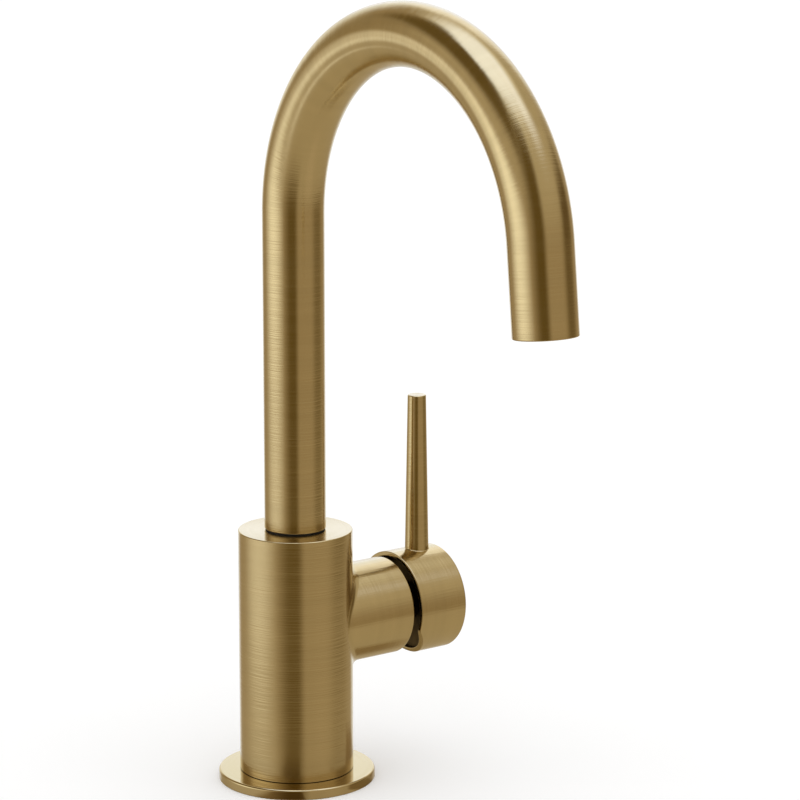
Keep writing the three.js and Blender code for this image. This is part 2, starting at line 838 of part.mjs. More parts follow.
add(handle, "cartridge_stem", cartridgeStem(), "brass");
add(handle, "handle_hub", handleHub(), "gold");
add(handle, "handle_lever", handleLever(), "gold");
add(handle, "hub_set_screw", setScrew(), "steel");
add(handle, "set_screw_plug", setScrewPlug(), "gold");

add(spout, "spout_tube", spoutTube(), "gold");
add(spout, "spout_spigot", spoutSpigot(), "brass");
add(spout, "spigot_ring_lower", spigotRing(ringPlaces[0]), "rubber");
add(spout, "spigot_ring_upper", spigotRing(ringPlaces[1]), "rubber");
add(spout, "spout_retaining_clip", retainingClip(), "polymer");

outlet.position.copy(new Gooseneck().getPoint(1));
outlet.rotation.y = archAngle - Math.PI;
add(outlet, "outlet_bush", outletBush(), "brass");
add(outlet, "aerator_housing", aeratorHousing(), "polymer");
add(outlet, "aerator_screen", aeratorScreen(), "polymer");
add(outlet, "flow_regulator", flowRegulator(), "polymer");
add(outlet, "aerator_gasket", outletGasket(), "rubber");

export default faucet;
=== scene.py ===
"""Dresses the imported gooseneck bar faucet: smooth brushed pieces, materials, floor, light and camera."""

import json
import math

import bpy
import numpy as np
from mathutils import Matrix, Vector


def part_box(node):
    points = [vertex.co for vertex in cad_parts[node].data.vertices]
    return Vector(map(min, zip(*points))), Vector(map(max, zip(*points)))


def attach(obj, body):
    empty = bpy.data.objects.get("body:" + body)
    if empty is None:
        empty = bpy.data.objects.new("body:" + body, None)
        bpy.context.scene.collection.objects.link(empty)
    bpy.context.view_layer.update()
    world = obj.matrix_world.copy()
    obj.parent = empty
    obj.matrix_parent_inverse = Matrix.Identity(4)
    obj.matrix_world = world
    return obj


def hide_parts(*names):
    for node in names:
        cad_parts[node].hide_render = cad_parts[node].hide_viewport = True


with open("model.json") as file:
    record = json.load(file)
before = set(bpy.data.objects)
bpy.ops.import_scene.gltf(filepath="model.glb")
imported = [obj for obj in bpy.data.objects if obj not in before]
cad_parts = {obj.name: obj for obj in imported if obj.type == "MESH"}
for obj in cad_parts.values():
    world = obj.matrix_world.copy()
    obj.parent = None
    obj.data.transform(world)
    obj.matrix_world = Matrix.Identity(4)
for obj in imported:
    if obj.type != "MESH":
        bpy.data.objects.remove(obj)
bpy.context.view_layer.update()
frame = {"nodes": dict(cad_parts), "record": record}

MM = 0.001
TURN = 2 * math.pi
TINY = 1e-12  # stands in for a length of zero in a division

# ---- Sizes in millimetres. Those of the CAD nodes are read from their boxes.


def box(node):
    low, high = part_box(node)
    return np.array(low) / MM, np.array(high) / MM


flange_high = box("base_flange")[1]
body_high = box("body_shell")[1]
core_high = box("waterway_core")[1]
tube_low = box("spout_tube")[0]
hub_low, hub_high = box("handle_hub")
lever_low, lever_high = box("handle_lever")
bush_low, bush_high = box("spout_guide_bush")
cover_low, cover_high = box("bonnet_cover")
shank_low, shank_high = box("mounting_shank")
plug_low, plug_high = box("set_screw_plug")

GAP = 0.3  # clearance between neighbouring pieces
SEAM = 0.2  # the line that shows between body and flange
EDGE = 0.45  # radius of the edges that show
FLANGE_RADIUS = flange_high[0]
FLANGE_TOP = flange_high[2]
FLANGE_EDGE = 0.8
GASKET_WIDTH = 7.5
BODY_RADIUS = body_high[0]
BODY_TOP = body_high[2]
BODY_BORE = core_high[0] + GAP
HANDLE_HEIGHT = (hub_low[2] + hub_high[2]) / 2
STUB_RADIUS = 17.9
STUB_END = body_high[1]
STUB_FILLET = 3.8
STUB_EDGE = 0.8
BONNET_BORE = cover_high[0] + GAP
CHAMBER_RADIUS = 12.8
NUT_SEAT = box("cartridge_retaining_nut")[0][1] - GAP
TUBE_RADIUS = -tube_low[0]
TUBE_WALL = 1.2
ARCH_RADIUS = 68.9
ARCH_ANGLE = math.radians(174.2)
OUTLET_RUN = 30.1
RISER_BOTTOM = tube_low[2]
RISER_RUN = 114.8
ARCH_BASE = RISER_BOTTOM + RISER_RUN
HUB_RADIUS = hub_high[0]
HUB_WALL = 1.8
HUB_BORE = HUB_RADIUS - HUB_WALL
HUB_MOUTH = hub_low[1]
HUB_END = hub_high[1]
CUP_DEPTH = 8
CUP_FLOOR = HUB_MOUTH + CUP_DEPTH
BOSS_RADIUS = 7
BOSS_INSET = 1.9
BOSS_FACE = HUB_MOUTH + BOSS_INSET
RELIEF_DROP = 7  # the mouth's relief starts this far below the hub's axis
RELIEF_SLOPE = math.tan(math.radians(31))
LEVER_AT = (lever_low[1] + lever_high[1]) / 2
LEVER_FOOT = 4.42
LEVER_TIP = 3.42
PLUG_HOLE = plug_high[0] + GAP

# ---- Frames of the round pieces: origin, axis, and the directions of angle zero and a quarter turn

X, Y, Z = np.eye(3)


class Axis:
    """A straight axis. A place on it is given by radius, distance along and angle."""

    def __init__(self, origin, along, zero):
        self.origin = np.array(origin, float)
        self.along = np.array(along, float)
        self.zero = np.array(zero, float)
        self.quarter = np.cross(self.along, self.zero)

    def out(self, angle):
        return np.cos(angle)[..., None] * self.zero + np.sin(angle)[..., None] * self.quarter

    def place(self, radius, along, angle):
        return self.origin + along[..., None] * self.along + radius[..., None] * self.out(angle)

    def normal(self, outward, forward, angle, along):
        return outward[..., None] * self.out(angle) + forward[..., None] * self.along


class Gooseneck(Axis):
    """The spout's bent axis: along is the distance from the riser's foot."""

    def __init__(self):
        super().__init__((0, 0, RISER_BOTTOM), Z, X)
        self.riser = ARCH_BASE - RISER_BOTTOM
        self.length = self.riser + ARCH_RADIUS * ARCH_ANGLE + OUTLET_RUN

    def turn(self, along):
        return np.clip((along - self.riser) / ARCH_RADIUS, 0, ARCH_ANGLE)

    def directions(self, along):
        turn = self.turn(along)[..., None]
        return np.sin(turn) * X + np.cos(turn) * Z, np.cos(turn) * X - np.sin(turn) * Z

    def centre(self, along):
        turn = self.turn(along)
        straight = np.minimum(along, self.riser) - self.riser
        past = np.maximum(along - self.riser - ARCH_RADIUS * ARCH_ANGLE, 0)
        x = ARCH_RADIUS * (1 - np.cos(turn)) + past * np.sin(turn)
        z = ARCH_BASE + straight + ARCH_RADIUS * np.sin(turn) + past * np.cos(turn)
        return np.stack([x, np.zeros_like(x), z], -1)

    def radial(self, along, angle):
        forward, inner = self.directions(along)
        return np.cos(angle)[..., None] * inner + np.sin(angle)[..., None] * Y

    def place(self, radius, along, angle):
        return self.centre(along) + radius[..., None] * self.radial(along, angle)

    def normal(self, outward, forward, angle, along):
        ahead = self.directions(along)[0]
        return outward[..., None] * self.radial(along, angle) + forward[..., None] * ahead


body_axis = Axis((0, 0, 0), Z, X)
stub_axis = Axis((0, 0, HANDLE_HEIGHT), Y, Z)
under_axis = Axis((0, 0, HANDLE_HEIGHT), Y, -Z)
lever_axis = Axis((0, LEVER_AT, 0), Z, X)
spout_axis = Gooseneck()

# ---- Pieces as grids of points with exact normals

BRUSH_AROUND = 60  # noise cells to a metre along a brush line
BRUSH_ACROSS = 2400  # and across the lines
CROSSING = (30, 30, 1 / 40)  # turns brush coordinates into those of lines the other way
MERGE_DIGITS = 4  # points that agree to these decimals of a millimetre are one
CORNER_POINTS = 6  # on a rounded corner
FILLET_STEPS = 8
SHORTEST_RUN = 1e-6
PATCH_ROWS = 13  # between a window's border and the rounding's edge
CROWDING = 1.3  # how much closer the rows lie towards the rounding


class Piece:
    """Collects grids, each with its normals, brush coordinates and finish, and joins them into one mesh."""

    def __init__(self, name, *finishes):
        self.name, self.finishes = name, finishes
        self.points, self.normals, self.coords, self.brush, self.quads, self.painted = ([] for _ in range(6))
        self.count = self.finish = 0

    def grid(self, points, normals, across, angle, radius, inward=False):
        """points is an array of rows by columns, across the distance over the brush lines."""
        rows, columns = points.shape[:2]
        sign = -1 if inward else 1
        self.points.append(points.reshape(-1, 3))
        lengths = np.linalg.norm(normals, axis=-1, keepdims=True)
        self.normals.append((sign * normals / np.maximum(lengths, TINY)).reshape(-1, 3))
        wide = np.broadcast_to(angle, (rows, columns))
        far = np.broadcast_to(across, (rows, columns))
        reach = np.broadcast_to(radius, (rows, columns))
        self.coords.append(np.stack([far * MM, wide / TURN], -1).reshape(-1, 2))
        lines = [
            reach * np.cos(wide) * MM * BRUSH_AROUND,
            reach * np.sin(wide) * MM * BRUSH_AROUND,
            far * MM * BRUSH_ACROSS,
        ]
        self.brush.append(np.stack(lines, -1).reshape(-1, 3))
        index = self.count + np.arange(rows * columns).reshape(rows, columns)
        quads = np.stack([index[:-1, :-1], index[:-1, 1:], index[1:, 1:], index[1:, :-1]], -1).reshape(-1, 4)
        self.quads.append(quads)
        self.painted.append(np.full(len(quads), self.finish))
        self.count += rows * columns

    def build(self, body, slot, *replaced):
        """Makes the mesh. It rides on a body and stands in for the CAD nodes replaced."""
        points = np.concatenate(self.points)
        normals = np.concatenate(self.normals)
        coords = np.concatenate(self.coords)
        brush = np.concatenate(self.brush)
        quads = np.concatenate(self.quads)
        merged = np.unique(np.round(points, MERGE_DIGITS), axis=0, return_index=True, return_inverse=True)
        first, same = merged[1], merged[2].reshape(-1)
        corner = points[quads]
        facing = np.cross(corner[:, 2] - corner[:, 0], corner[:, 3] - corner[:, 1])
        wrong = (facing * normals[quads].sum(1)).sum(-1) < 0
        quads[wrong] = quads[wrong][:, ::-1]
        faces, corners, paint = [], [], []
        for quad, finish in zip(quads, np.concatenate(self.painted)):
            kept = [v for k, v in enumerate(quad) if same[v] != same[quad[k - 1]]]
            if len(kept) > 2 and len({same[v] for v in kept}) == len(kept):
                faces.append([same[v] for v in kept])
                corners.extend(kept)
                paint.append(finish)
        mesh = bpy.data.meshes.new(self.name)
        mesh.from_pydata((points[first] * MM).tolist(), [], faces)
        mesh.polygons.foreach_set("use_smooth", [True] * len(mesh.polygons))
        layer = mesh.uv_layers.new(name="brush_map")
        layer.uv.foreach_set("vector", coords[corners].ravel())
        lines = mesh.attributes.new("brush", "FLOAT_VECTOR", "CORNER")
        lines.data.foreach_set("vector", brush[corners].astype(np.float32).ravel())
        mesh.normals_split_custom_set(normals[corners].tolist())
        for finish in self.finishes:
            mesh.materials.append(finish)
        mesh.polygons.foreach_set("material_index", paint)
        made = bpy.data.objects.new(self.name, mesh)
        bpy.context.scene.collection.objects.link(made)
        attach(made, body)
        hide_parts(*replaced)


def around(count, start=0.0):
    """Angles of a full turn, with the first repeated at the end."""
    return start + np.linspace(0, TURN, count + 1)


def swing(first, last, spread, share):
    """Directions between first and last, which stand spread apart, at even angles."""
    return (np.sin((1 - share) * spread) * first + np.sin(share * spread) * last) / np.sin(spread)


def runs_of(corners, closed):
    """Splits an outline of (radius, along, rounding) into straight runs and rounded corners.

    Each run is an array of points and one of normals, on the right of the way the outline goes.
    """
    flat = [np.array(c[:2], float) for c in corners]
    rounding = [c[2] if len(c) > 2 else 0 for c in corners]
    count = len(flat)
    start, end, arcs = [None] * count, [None] * count, [None] * count
    for i, here in enumerate(flat):
        if not closed and i in (0, count - 1) or rounding[i] == 0:
            start[i] = end[i] = here
            continue
        before, after = flat[i - 1] - here, flat[(i + 1) % count] - here
        before, after = before / np.linalg.norm(before), after / np.linalg.norm(after)
        half = math.acos(np.clip(before @ after, -1, 1)) / 2
        cut = rounding[i] / math.tan(half)
        start[i], end[i] = here + before * cut, here + after * cut
        middle = (before + after) / np.linalg.norm(before + after)
        centre = here + middle * rounding[i] / math.sin(half)
        first, last = (start[i] - centre) / rounding[i], (end[i] - centre) / rounding[i]
        spread = math.acos(np.clip(first @ last, -1, 1))
        rays = swing(first, last, spread, np.linspace(0, 1, CORNER_POINTS)[:, None])
        arcs[i] = (centre + rays * rounding[i], rays)
    runs = []
    for i in range(count if closed else count - 1):
        j = (i + 1) % count
        step = start[j] - end[i]
        length = np.linalg.norm(step)
        if length > SHORTEST_RUN:
            side = np.array([step[1], -step[0]]) / length
            runs.append((np.array([end[i], start[j]]), np.array([side, side])))
        if arcs[j] is not None:
            points, rays = arcs[j]
            step = points[1] - points[0]
            outward = rays[0] @ np.array([step[1], -step[0]]) > 0
            runs.append((points, rays if outward else -rays))
    return runs


def turned(piece, axis, corners, angles, closed=True, step=None, across=0.0):
    """Turns an outline about an axis. across is where its brush lines start.

    step is the longest stretch of the outline without a row of points.
    """
    for points, normals in runs_of(corners, closed):
        if step and len(points) == 2:
            parts = max(1, math.ceil(np.linalg.norm(points[1] - points[0]) / step))
            share = np.linspace(0, 1, parts + 1)[:, None]
            points = points[0] + share * (points[1] - points[0])
            normals = np.repeat(normals[:1], parts + 1, axis=0)
        lengths = np.r_[0, np.cumsum(np.linalg.norm(np.diff(points, axis=0), axis=1))]
        radius, along = (np.repeat(points[:, k : k + 1], len(angles), 1) for k in (0, 1))
        outward, forward = (np.repeat(normals[:, k : k + 1], len(angles), 1) for k in (0, 1))
        angle = np.repeat(angles[None], len(points), 0)
        places = axis.place(radius, along, angle)
        facing = axis.normal(outward, forward, angle, along)
        piece.grid(places, facing, across + lengths[:, None], angle, radius)
        across += lengths[-1]


class Crossing:
    """Where a round pipe along an axis's zero direction meets the wall round that axis.

    sign is 1 for a pipe that stands out, with a hollow fillet, and -1 for a hole with a rounded edge.
    """

    def __init__(self, axis, wall, at, pipe, rounding, sign):
        self.axis, self.wall, self.at = axis, wall, at
        self.pipe, self.rounding, self.sign = pipe, rounding, sign

    def ball(self, turn):
        """Centre of the ball that the rounding follows: outward, sideways and along the axis."""
        reach = self.pipe + self.rounding
        sideways = reach * np.sin(turn)
        outward = np.sqrt((self.wall + self.sign * self.rounding) ** 2 - sideways**2)
        return outward, sideways, self.at + reach * np.cos(turn)

    def world(self, outward, sideways, along):
        axis = self.axis
        return (
            axis.origin
            + outward[..., None] * axis.zero
            + sideways[..., None] * axis.quarter
            + along[..., None] * axis.along
        )

    def edge(self, turn):
        """Angle round the wall and distance along it where the rounding starts."""
        outward, sideways, along = self.ball(turn)
        return np.arctan2(sideways, outward), along

    def wall_patch(self, piece, angles, rows, inward=False):
        """Fills the window between the border of a rectangle on the wall and the rounding's edge."""
        border = [(a, rows[0]) for a in angles[:-1]] + [(angles[-1], r) for r in rows[:-1]]
        border += [(a, rows[-1]) for a in angles[:0:-1]] + [(angles[0], r) for r in rows[:0:-1]]
        border.append(border[0])
        border = np.array(border)
        turn = np.unwrap(np.arctan2(border[:, 0] * self.wall, border[:, 1] - self.at))
        inner = np.stack(self.edge(turn), -1)
        share = np.linspace(0, 1, PATCH_ROWS)[:, None, None] ** CROWDING
        both = inner + share * (border - inner)
        angle, along = both[..., 0], both[..., 1]
        radius = np.full_like(angle, self.wall)
        points = self.axis.place(radius, along, angle)
        piece.grid(points, self.axis.out(angle), along, angle, radius, inward)
        return turn

    def fillet(self, piece, turn):
        outward, sideways, along = self.ball(turn)
        centre = self.world(outward, sideways, along)
        wall = self.axis.out(np.arctan2(sideways, outward))
        pipe = np.sin(turn)[:, None] * self.axis.quarter + np.cos(turn)[:, None] * self.axis.along
        last = self.sign * pipe
        spread = np.arccos(np.clip((wall * last).sum(-1), -1, 1))[:, None]
        shares = np.linspace(0, 1, FILLET_STEPS + 1)
        rays = np.array([swing(wall, last, spread, share) for share in shares])
        points = centre - self.sign * self.rounding * rays
        across = shares[:, None] * spread[:, 0] * self.rounding
        piece.grid(points, rays, across, turn[None], self.pipe)

    def pipe_wall(self, piece, turn, end, across=0.0):
        """The pipe from its meeting with the wall to a distance out along the zero direction."""
        start = self.ball(turn)[0]
        outward = start + np.array([[0], [1]]) * (end - start)
        sideways = np.broadcast_to(self.pipe * np.sin(turn), outward.shape)
        along = np.broadcast_to(self.at + self.pipe * np.cos(turn), outward.shape)
        facing = np.sin(turn)[:, None] * self.axis.quarter + np.cos(turn)[:, None] * self.axis.along
        normals = np.broadcast_to(facing, (*outward.shape, 3))
        points = self.world(outward, sideways, along)
        piece.grid(points, normals, outward + across, turn[None], self.pipe, self.sign < 0)


def wall_with_window(piece, axis, radius, rows, angles, window, inward=False):
    """A wall round an axis. window is the number of columns left open on each side of angle zero."""
    columns = len(angles) - 1
    row = np.array(rows, float)

    def strip(some_angles, some_rows):
        angle, along = np.meshgrid(some_angles, some_rows)
        reach = np.full_like(angle, radius)
        piece.grid(axis.place(reach, along, angle), axis.out(angle), along, angle, reach, inward)

    strip(angles, row[:2])
    strip(angles, row[-2:])
    middle = columns // 2
    strip(angles[: middle - window + 1], row[1:-1])
    strip(angles[middle + window :], row[1:-1])
    return angles[middle - window : middle + window + 1], row[1:-1]


# ---- Materials


# sockets of a Mix node that blends colours
MIX_SHARE, MIX_FIRST, MIX_SECOND, MIX_RESULT = 0, 6, 7, 2


class Nodes:
    """A short way to write a node tree."""

    def __init__(self, tree):
        self.tree = tree
        tree.nodes.clear()

    def add(self, kind, values=None, **settings):
        node = self.tree.nodes.new("ShaderNode" + kind)
        for key, value in settings.items():
            setattr(node, key, value)
        for key, value in (values or {}).items():
            if isinstance(value, bpy.types.NodeSocket):
                self.tree.links.new(value, node.inputs[key])
            else:
                node.inputs[key].default_value = value
        return node

    def math(self, operation, *values):
        return self.add("Math", dict(enumerate(values)), operation=operation).outputs[0]

    def spread(self, value, low, high, to_low=0.0, to_high=1.0, smooth=False):
        kind = "SMOOTHSTEP" if smooth else "LINEAR"
        values = {"Value": value, "From Min": low, "From Max": high, "To Min": to_low, "To Max": to_high}
        return self.add("MapRange", values, interpolation_type=kind).outputs[0]

    def edge(self, value, at, soft, rising):
        """A smooth step where a value passes at: up if rising is 1, down if it is 0."""
        return self.spread(value, at - soft, at + soft, 1 - rising, rising, smooth=True)

    def along(self, vector, axis):
        """How far a vector reaches along an axis."""
        return self.add("VectorMath", {0: vector, 1: tuple(axis)}, operation="DOT_PRODUCT").outputs["Value"]

    def blend(self, share, first, second):
        node = self.add("Mix", data_type="RGBA", clamp_factor=True)
        for socket, value in ((MIX_SHARE, share), (MIX_FIRST, first), (MIX_SECOND, second)):
            if isinstance(value, bpy.types.NodeSocket):
                self.tree.links.new(value, node.inputs[socket])
            else:
                node.inputs[socket].default_value = value if socket == MIX_SHARE else (*value, 1)
        return node.outputs[MIX_RESULT]

    def noise(self, vector, scale, detail=2.0, rough=0.5):
        values = {"Vector": vector, "Scale": scale, "Detail": detail, "Roughness": rough}
        return self.add("TexNoise", values).outputs["Fac"]


def material(name, shade):
    made = bpy.data.materials.new(name)
    made.use_nodes = True
    made.diffuse_color = (*shade, 1)
    nodes = Nodes(made.node_tree)
    shader = nodes.add("BsdfPrincipled")
    output = nodes.add("OutputMaterial")
    made.node_tree.links.new(shader.outputs[0], output.inputs["Surface"])
    return made, nodes, shader


GOLD = (0.62, 0.50, 0.28)
MOSTLY = (0.3, 0.7)  # the range that a noise mostly keeps to
FINE_LINES, BROAD_LINES, TONE_LINES = 1.0, 0.16, 0.06  # scales of noise in brush coordinates
FINE_SHARE = 0.6  # of the fine lines in the streaks, the rest being broad ones
CLOUDS = 45.0  # noise cells to a metre where the roughness varies from place to place
ROUGHER_LINES, ROUGHER_CLOUDS, ROUGHER_GRAIN = 0.04, 0.02, 0.06  # how much each adds or takes
TONE_CHANGE, TONE_RANGE = 0.03, (0.34, 0.66)
LINE_DEPTH = 0.00007  # metres
GRAIN_STRENGTH = 0.3


def brushed_gold(name, crossed, roughness, anisotropy, contrast):
    """Brush lines run round the piece, so the gloss spreads along its axis.

    crossed is the share of lines that run along it, and contrast how strong the lines are.
    """
    made, nodes, shader = material(name, GOLD)
    lines = nodes.add("Attribute", attribute_name="brush").outputs["Vector"]
    fine = nodes.math("MULTIPLY", nodes.noise(lines, FINE_LINES, 1.0), FINE_SHARE)
    broad = nodes.math("MULTIPLY", nodes.noise(lines, BROAD_LINES), 1 - FINE_SHARE)
    streak = nodes.math("ADD", fine, broad)
    if crossed:
        lengthwise = nodes.add("VectorMath", {0: lines, 1: CROSSING}, operation="MULTIPLY").outputs["Vector"]
        streak = nodes.blend(crossed, streak, nodes.noise(lengthwise, FINE_LINES))
    cloud = nodes.noise(nodes.add("TexCoord").outputs["Object"], CLOUDS)
    tone = nodes.spread(nodes.noise(lines, TONE_LINES), *TONE_RANGE)
    change = TONE_CHANGE * contrast
    colour = nodes.blend(tone, *(tuple(c * (1 + side * change) for c in GOLD) for side in (-1, 1)))
    by_line = nodes.spread(streak, *MOSTLY, roughness - ROUGHER_LINES, roughness + ROUGHER_LINES)
    rough = nodes.math("ADD", by_line, nodes.spread(cloud, *MOSTLY, -ROUGHER_CLOUDS, ROUGHER_CLOUDS))
    tangent = nodes.add("Tangent", direction_type="UV_MAP", uv_map="brush_map")
    bump = nodes.add("Bump", {"Strength": 1.0, "Distance": LINE_DEPTH * contrast, "Height": streak})
    shader.inputs["Metallic"].default_value = 1
    shader.inputs["Anisotropic"].default_value = anisotropy
    for output, socket in (
        (colour, "Base Color"),
        (rough, "Roughness"),
        (tangent.outputs[0], "Tangent"),
        (bump.outputs[0], "Normal"),
    ):
        made.node_tree.links.new(output, shader.inputs[socket])
    return made


def plain(name, shade, metallic, roughness, scale, depth, variation=0.06):
    """A material with mottled colour and a fine grain.

    scale is the grain's cells to a metre, depth is in metres, and variation is the change in colour.
    """
    made, nodes, shader = material(name, shade)
    place = nodes.add("TexCoord").outputs["Object"]
    mottle = nodes.noise(place, scale / 5, 3.0)
    grain = nodes.noise(place, scale, 3.0, 0.6)
    darker = tuple(c * (1 - variation) for c in shade)
    lighter = tuple(min(1, c * (1 + variation)) for c in shade)
    colour = nodes.blend(nodes.spread(mottle, *MOSTLY), darker, lighter)
    rough = nodes.spread(grain, *MOSTLY, roughness - ROUGHER_GRAIN, roughness + ROUGHER_GRAIN)
    bump = nodes.add("Bump", {"Strength": GRAIN_STRENGTH, "Distance": depth, "Height": grain})
    shader.inputs["Metallic"].default_value = metallic
    for output, socket in ((colour, "Base Color"), (rough, "Roughness"), (bump.outputs[0], "Normal")):
        made.node_tree.links.new(output, shader.inputs[socket])
    return made


gold = brushed_gold("brushed_champagne_gold", 0, roughness=0.18, anisotropy=0.67, contrast=1)
crossed_gold = brushed_gold(
    "cross_brushed_champagne_gold", 0.5, roughness=0.15, anisotropy=0.2, contrast=1.2
)
fine_gold = brushed_gold("fine_champagne_gold", 0, roughness=0.08, anisotropy=0.2, contrast=0.3)
# a near-black painted shade for the insides of bores, cups and the tube, far darker than their bare metal
inside = plain("painted_shade_inside", (0.10, 0.07, 0.028), 1, 0.45, 700, 0.00005, 0.15)
finishes = {
    "champagne_gold": plain("cast_champagne_gold", GOLD, 1, 0.3, 900, 0.00003),
    "raw_brass": plain("machined_brass", (0.70, 0.50, 0.20), 1, 0.3, 1200, 0.00004),
    "steel_hardware": plain("zinc_steel", (0.58, 0.58, 0.57), 1, 0.32, 1400, 0.00003),
    "seal_rubber": plain("black_rubber", (0.022, 0.022, 0.024), 0, 0.62, 1500, 0.00005, 0.2),
    "engineering_polymer": plain("off_white_acetal", (0.76, 0.74, 0.68), 0, 0.42, 1000, 0.00002, 0.03),
    "black_polymer": plain("black_acetal", (0.018, 0.018, 0.019), 0, 0.45, 1200, 0.00002, 0.1),
    "ceramic": plain("lapped_ceramic", (0.82, 0.80, 0.74), 0, 0.16, 2200, 0.00001, 0.02),
}
for part in frame["record"]["subparts"]:
    data = frame["nodes"][part["node"]].data
    data.materials.clear()
    data.materials.append(finishes[part["material_slot"]])

# ---- Brushed pieces

FINE, MIDDLING, COARSE = 144, 96, 72  # columns of points round a piece
# the second place holds the near-black painted shade of the insides
SHOWN, PAINTED_SHADE, CROSSED = 0, 1, 2  # places in a piece's list of finishes


def dressed_flange():
    """The disc, with the groove under it that holds the deck gasket."""
    piece = Piece("brushed_flange", fine_gold)
    bore = shank_high[0] + GAP
    gasket_high = box("deck_gasket")[1]
    outer, top = gasket_high[0] + GAP, gasket_high[2] + GAP
    inner = outer - GASKET_WIDTH - 2 * GAP
    groove = [(inner, 0), (inner, top), (outer, top), (outer, 0)]
    rim = [(FLANGE_RADIUS, 0, EDGE), (FLANGE_RADIUS, FLANGE_TOP, FLANGE_EDGE)]
    turned(piece, body_axis, [(bore, 0), *groove, *rim, (bore, FLANGE_TOP)], around(FINE))
    piece.build("faucet_body", "champagne_gold", "base_flange")


def dressed_body():
    """The body with its stub outside, and the waterway's space and the cartridge chamber inside."""
    piece = Piece("brushed_body", gold, inside, crossed_gold)
    upright = Axis((0, 0, 0), Z, Y)
    hole = TUBE_RADIUS - GAP
    ceiling = BODY_TOP - (bush_high[2] - bush_low[2])
    foot = FLANGE_TOP + SEAM
    stub_rim = STUB_END - STUB_EDGE
    angles = around(120, -math.pi)
    window = 26  # columns that the stub's surroundings take on each side
    rows = np.r_[foot, np.linspace(12, 88, 25), BODY_TOP - EDGE]
    outer = Crossing(upright, BODY_RADIUS, HANDLE_HEIGHT, STUB_RADIUS, STUB_FILLET, 1)
    turn = outer.wall_patch(piece, *wall_with_window(piece, upright, BODY_RADIUS, rows, angles, window))
    piece.finish = CROSSED
    outer.fillet(piece, turn)
    outer.pipe_wall(piece, turn, stub_rim, across=10)
    end = [(STUB_RADIUS, stub_rim), (STUB_RADIUS, STUB_END, STUB_EDGE), (BONNET_BORE, STUB_END)]
    # about this axis, columns at minus turn meet those of the stub's wall
    turned(piece, stub_axis, end, -turn, closed=False, across=40)
    piece.finish = SHOWN
    top = [(BODY_RADIUS, BODY_TOP - EDGE), (BODY_RADIUS, BODY_TOP, EDGE)]
    top += [(hole, BODY_TOP), (hole, ceiling), (BODY_BORE, ceiling)]
    turned(piece, upright, top, angles, closed=False)
    turned(piece, upright, [(BODY_BORE, foot), (BODY_RADIUS, foot)], angles, closed=False)
    # the bore and the chamber inside take the painted shade
    piece.finish = PAINTED_SHADE
    inner = Crossing(upright, BODY_BORE, HANDLE_HEIGHT, CHAMBER_RADIUS, 0, -1)
    rows[-1] = ceiling
    opened = wall_with_window(piece, upright, BODY_BORE, rows, angles, window, inward=True)
    turn = inner.wall_patch(piece, *opened, inward=True)
    inner.pipe_wall(piece, turn, NUT_SEAT)
    bore = [(BONNET_BORE, STUB_END), (BONNET_BORE, NUT_SEAT), (CHAMBER_RADIUS, NUT_SEAT)]
    turned(piece, stub_axis, bore, around(MIDDLING), closed=False)
    piece.build("faucet_body", "champagne_gold", "body_shell")


def dressed_spout():
    """The bent tube. Its finish goes a little way into the outlet."""
    piece = Piece("brushed_spout", gold, inside)
    inner, end = TUBE_RADIUS - TUBE_WALL, spout_axis.length
    lip, plated = 0.35, end - 4
    shown = [(inner, 0), (TUBE_RADIUS, 0, lip), (TUBE_RADIUS, end, lip), (inner, end, lip), (inner, plated)]
    turned(piece, spout_axis, shown, around(MIDDLING), closed=False, step=1.2)
    # deeper in, the tube's inside takes the painted shade
    piece.finish = PAINTED_SHADE
    turned(piece, spout_axis, [(inner, plated), (inner, 0)], around(MIDDLING), closed=False, step=2.4)
    piece.build("spout", "champagne_gold", "spout_tube")


def dressed_cover():
    """The ring in the stub's mouth that covers the cartridge's nut, coloured in the painted shade of the
    insides.
    """
    piece = Piece("shade_painted_bonnet_cover", inside)
    outer, width, edge = cover_high[0], 6.2, 0.3
    back_corners = [(outer - width, cover_low[1]), (outer, cover_low[1])]
    front_corners = [(outer, cover_high[1], edge), (outer - width, cover_high[1], edge)]
    turned(piece, stub_axis, back_corners + front_corners, around(MIDDLING))
    piece.build("faucet_body", "champagne_gold", "bonnet_cover")


